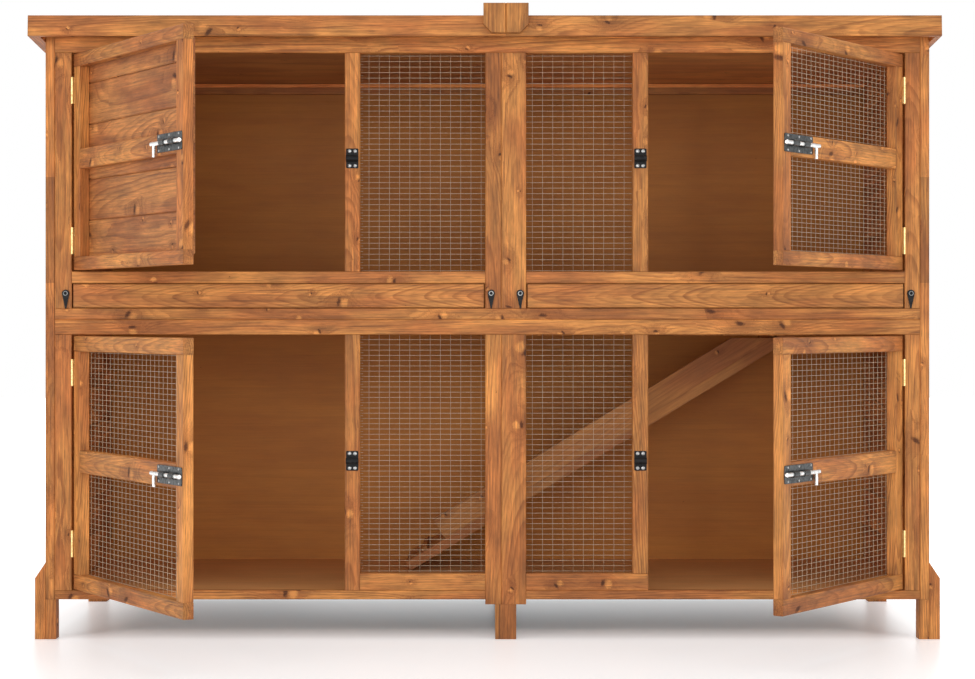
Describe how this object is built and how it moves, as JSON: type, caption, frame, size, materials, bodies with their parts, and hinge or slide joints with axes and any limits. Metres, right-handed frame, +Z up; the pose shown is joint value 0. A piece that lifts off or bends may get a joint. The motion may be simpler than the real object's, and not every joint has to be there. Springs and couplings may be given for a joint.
{
  "type": "rabbit hutch",
  "caption": "Timber rabbit hutch on short legs: stacked storeys joined by an inside ramp, hinged mesh doors with tower bolts, slide-out trays and a sloping felted roof.",
  "frame": {"origin": "centre of the sole of the front middle leg, on the ground", "axes": "+X to the right along the front, +Y into the hutch (the front faces -Y), +Z up"},
  "size_m": [1.8403, 1.1427, 1.2827],
  "materials": {
    "timber": "stained, planed pine",
    "boarding": "stained pine boards",
    "plywood": "stained plywood",
    "mineral_felt": "mineral grit",
    "galvanised_wire": "galvanised",
    "brass": "bright plated",
    "zinc_steel": "dull zinc",
    "bright_steel": "bright zinc",
    "black_steel": "black lacquer"
  },
  "bodies": {
    "carcass": {"back_frame": "timber", "back_panels": "plywood", "bolt_keepers": "black_steel", "floor_bearers": "timber", "foot_blocks": "timber", "hinge_frame_leaves": "brass", "hinge_pins": "brass", "lower_fixed_mesh": "galvanised_wire", "lower_floor": "plywood", "lower_front_rails": "timber", "lower_front_stiles": "timber", "middle_legs": "timber", "ramp_board": "timber", "ramp_guard": "timber", "ramp_treads": "timber", "roof_cap": "timber", "roof_decks": "timber", "roof_felt": "mineral_felt", "roof_front_fascia": "timber", "roof_joint_strip": "timber", "roof_rear_fascia": "timber", "roof_side_fascias": "timber", "side_boards": "boarding", "side_rails": "timber", "side_stiles": "timber", "tray_guides": "timber", "turn_button_screws": "bright_steel", "upper_fixed_mesh": "galvanised_wire", "upper_floor": "plywood", "upper_front_rails": "timber", "upper_front_stiles": "timber"},
    "door_upper_left": {"door_frame_upper_left": "timber", "door_boards_upper_left": "boarding", "door_hinges_upper_left": "brass", "bolt_plate_upper_left": "zinc_steel"},
    "bolt_upper_left": {"bolt_rod_upper_left": "bright_steel"},
    "door_upper_right": {"door_frame_upper_right": "timber", "door_mesh_upper_right": "galvanised_wire", "door_hinges_upper_right": "brass", "bolt_plate_upper_right": "zinc_steel"},
    "bolt_upper_right": {"bolt_rod_upper_right": "bright_steel"},
    "door_lower_left": {"door_frame_lower_left": "timber", "door_mesh_lower_left": "galvanised_wire", "door_hinges_lower_left": "brass", "bolt_plate_lower_left": "zinc_steel"},
    "bolt_lower_left": {"bolt_rod_lower_left": "bright_steel"},
    "door_lower_right": {"door_frame_lower_right": "timber", "door_mesh_lower_right": "galvanised_wire", "door_hinges_lower_right": "brass", "bolt_plate_lower_right": "zinc_steel"},
    "bolt_lower_right": {"bolt_rod_lower_right": "bright_steel"},
    "button_outer_left": {"turn_button_outer_left": "black_steel"},
    "button_inner_left": {"turn_button_inner_left": "black_steel"},
    "button_inner_right": {"turn_button_inner_right": "black_steel"},
    "button_outer_right": {"turn_button_outer_right": "black_steel"},
    "tray_left": {"tray_front_left": "timber", "tray_box_left": "plywood"},
    "tray_right": {"tray_front_right": "timber", "tray_box_right": "plywood"}
  },
  "joints": [
    {"name": "door_upper_left_swing", "type": "hinge", "parent": "carcass", "child": "door_upper_left", "pos_m": [-0.8798, -0.0257, 0.96925], "axis": [0, 0, -1], "range_deg": [-58.6, 116.4]},
    {"name": "bolt_upper_left_slide", "type": "slide", "parent": "door_upper_left", "child": "bolt_upper_left", "axis": [0.521, -0.8536, 0], "range_m": [0, 0.028]},
    {"name": "door_upper_right_swing", "type": "hinge", "parent": "carcass", "child": "door_upper_right", "pos_m": [0.809, -0.0257, 0.96925], "axis": [0, 0, 1], "range_deg": [-54.6, 120.4]},
    {"name": "bolt_upper_right_slide", "type": "slide", "parent": "door_upper_right", "child": "bolt_upper_right", "axis": [-0.5793, -0.8151, 0], "range_m": [0, 0.028]},
    {"name": "door_lower_left_swing", "type": "hinge", "parent": "carcass", "child": "door_lower_left", "pos_m": [-0.8798, -0.0257, 0.3591], "axis": [0, 0, -1], "range_deg": [-58.6, 116.4]},
    {"name": "bolt_lower_left_slide", "type": "slide", "parent": "door_lower_left", "child": "bolt_lower_left", "axis": [0.521, -0.8536, 0], "range_m": [0, 0.028]},
    {"name": "door_lower_right_swing", "type": "hinge", "parent": "carcass", "child": "door_lower_right", "pos_m": [0.809, -0.0257, 0.3591], "axis": [0, 0, 1], "range_deg": [-54.6, 120.4]},
    {"name": "bolt_lower_right_slide", "type": "slide", "parent": "door_lower_right", "child": "bolt_lower_right", "axis": [-0.5793, -0.8151, 0], "range_m": [0, 0.028]},
    {"name": "button_outer_left_turn", "type": "hinge", "parent": "carcass", "child": "button_outer_left", "pos_m": [-0.8933, -0.0229, 0.7027], "axis": [0, -1, 0], "range_deg": [-90, 90]},
    {"name": "button_inner_left_turn", "type": "hinge", "parent": "carcass", "child": "button_inner_left", "pos_m": [-0.0295, -0.0229, 0.7027], "axis": [0, -1, 0], "range_deg": [-90, 60]},
    {"name": "button_inner_right_turn", "type": "hinge", "parent": "carcass", "child": "button_inner_right", "pos_m": [0.0295, -0.0229, 0.7027], "axis": [0, -1, 0], "range_deg": [-60, 90]},
    {"name": "button_outer_right_turn", "type": "hinge", "parent": "carcass", "child": "button_outer_right", "pos_m": [0.8225, -0.0229, 0.7027], "axis": [0, -1, 0], "range_deg": [-90, 90]},
    {"name": "tray_left_slide", "type": "slide", "parent": "carcass", "child": "tray_left", "axis": [0, -1, 0], "range_m": [0, 0.45]},
    {"name": "tray_right_slide", "type": "slide", "parent": "carcass", "child": "tray_right", "axis": [0, -1, 0], "range_m": [0, 0.45]}
  ]
}
